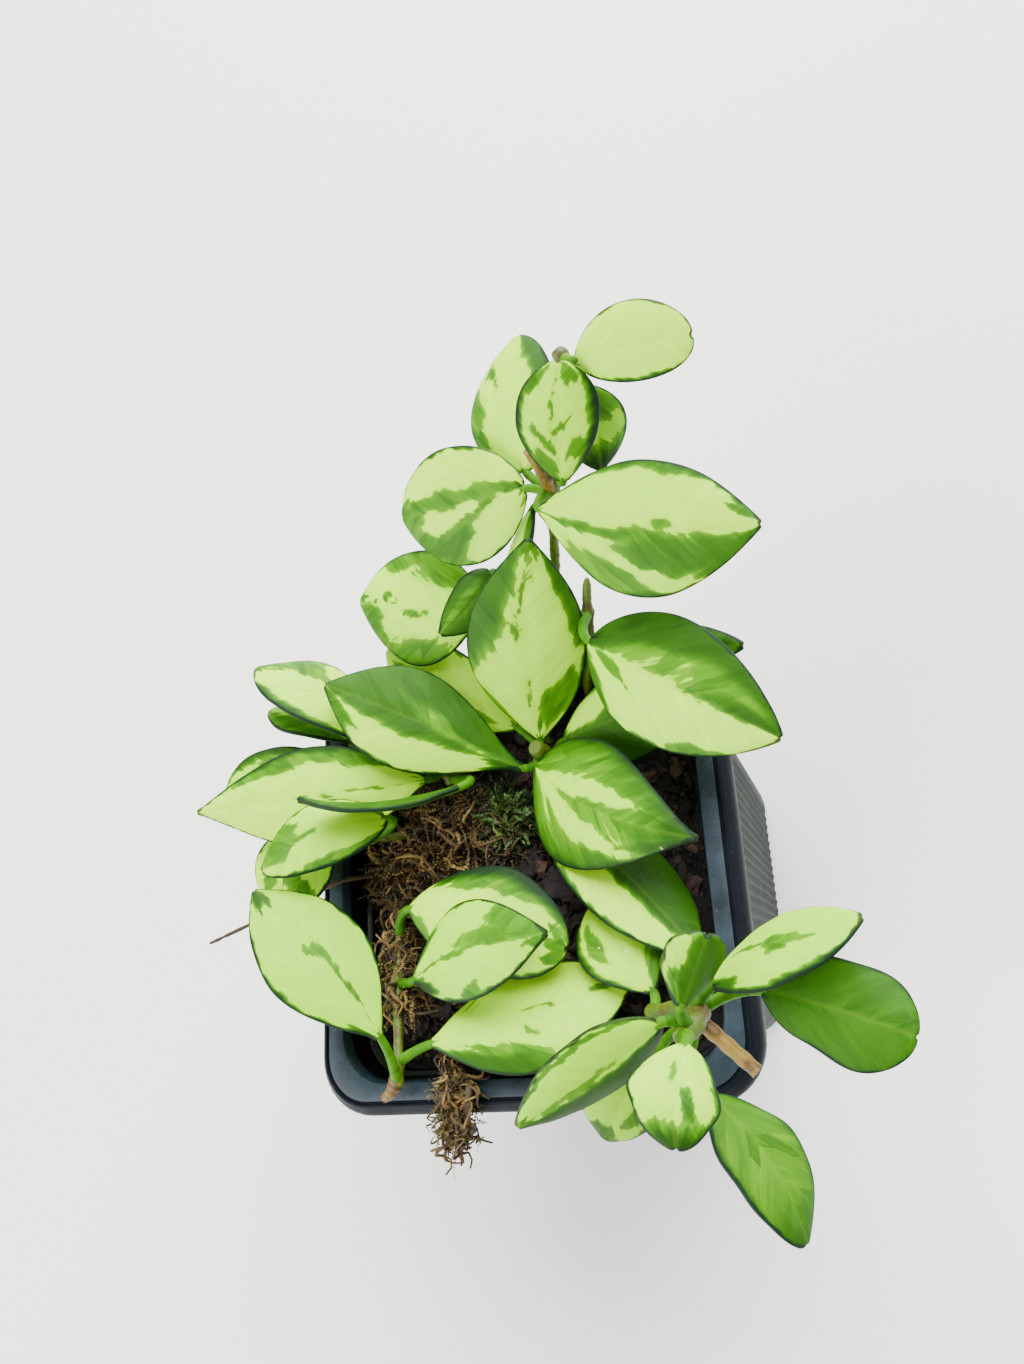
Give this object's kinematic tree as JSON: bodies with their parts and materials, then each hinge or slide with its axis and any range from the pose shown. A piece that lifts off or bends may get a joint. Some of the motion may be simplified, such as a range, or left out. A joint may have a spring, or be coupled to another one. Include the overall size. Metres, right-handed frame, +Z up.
{
  "type": "potted variegated hoya",
  "caption": "Compact climbing plant with fleshy cream, lime and dark green leaves on short stems, in a square plastic nursery pot with soil and moss.",
  "frame": {"origin": "centre of the pot's flat foot", "axes": "+Z up through the pot, -Y towards the front left of the picture's camera, with the rim's sides along X and Y"},
  "size_m": [0.1268, 0.1414, 0.1257],
  "materials": {
    "pot_plastic": "dark blue-grey moulded plastic, slight sheen on the rim",
    "bark_soil": "damp dark bark and soil, rough",
    "bark": "reddish brown bark, rough",
    "grey_chip": "pale grey chip, rough",
    "dry_moss": "dry brown and golden moss strands",
    "green_moss": "live dark green moss",
    "wood_sliver": "pale split wood",
    "dry_root": "thin dry root, rough",
    "stem": "yellow-green and tan stem, satin",
    "leaf": "fleshy leaf, cream, lime and dark green patches, waxy satin"
  },
  "bodies": {
    "root": {"pot": "pot_plastic", "substrate": "bark_soil", "bark_chip_back": "bark", "bark_chip_right": "bark", "grey_chip": "grey_chip", "moss_brown_mat": "dry_moss", "moss_green_tuft": "green_moss", "moss_on_stem": "dry_moss", "moss_over_rim": "dry_moss", "wood_sliver": "wood_sliver", "dry_root": "dry_root", "stem_tall": "stem", "stem_right": "stem", "stem_middle": "stem", "stem_left": "stem", "stem_left_low": "stem", "stem_front_left": "stem", "stem_front_right": "stem", "leaf_top_right": "leaf", "leaf_top_left": "leaf", "leaf_top_front": "leaf", "leaf_top_under": "leaf", "leaf_upper_left": "leaf", "leaf_upper_right": "leaf", "leaf_upper_low": "leaf", "leaf_arm_left": "leaf", "leaf_arm_curled": "leaf", "leaf_mid_back": "leaf", "leaf_mid_hidden": "leaf", "leaf_mid_left": "leaf", "leaf_mid_right": "leaf", "leaf_mid_low": "leaf", "leaf_mid_front": "leaf", "leaf_right": "leaf", "leaf_right_under": "leaf", "leaf_left_top": "leaf", "leaf_left_under": "leaf", "leaf_left_back": "leaf", "leaf_left_long": "leaf", "leaf_left_edge": "leaf", "leaf_left_low": "leaf", "leaf_left_front": "leaf", "leaf_left_small": "leaf", "leaf_front_left": "leaf", "leaf_front_under": "leaf", "leaf_front_mid": "leaf", "leaf_front_low": "leaf", "leaf_corner_back": "leaf", "leaf_corner_fold": "leaf", "leaf_corner_right": "leaf", "leaf_corner_green": "leaf", "leaf_corner_left": "leaf", "leaf_corner_near": "leaf", "leaf_corner_under": "leaf", "leaf_corner_out": "leaf"}
  },
  "joints": []
}
